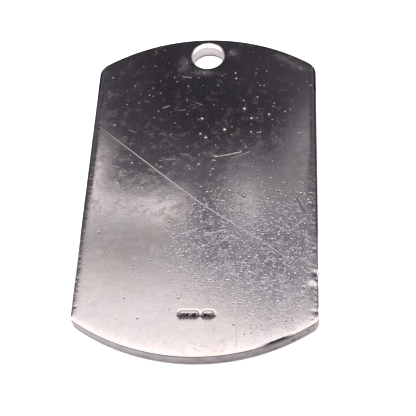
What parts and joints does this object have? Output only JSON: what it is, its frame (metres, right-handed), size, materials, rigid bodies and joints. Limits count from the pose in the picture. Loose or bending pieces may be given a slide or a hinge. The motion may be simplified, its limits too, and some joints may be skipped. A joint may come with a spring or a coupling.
{
  "type": "identification dog tag",
  "caption": "Thick blank metal identification plate with straight sides, bowed ends, rounded corners, a ring hole near one tip and blank punch marks near the other.",
  "frame": {"origin": "middle of the back face, on the surface that the tag lies on", "axes": "+Y along the plate towards the ring hole, +Z out of the front face, +X to the right as the front is read with the hole at the top"},
  "size_m": [0.028, 0.046, 0.0024],
  "materials": {
    "silver": "worn polished silver, finely pitted and scratched, with a brushed edge"
  },
  "bodies": {
    "root": {"tag_plate": "silver"}
  },
  "joints": []
}
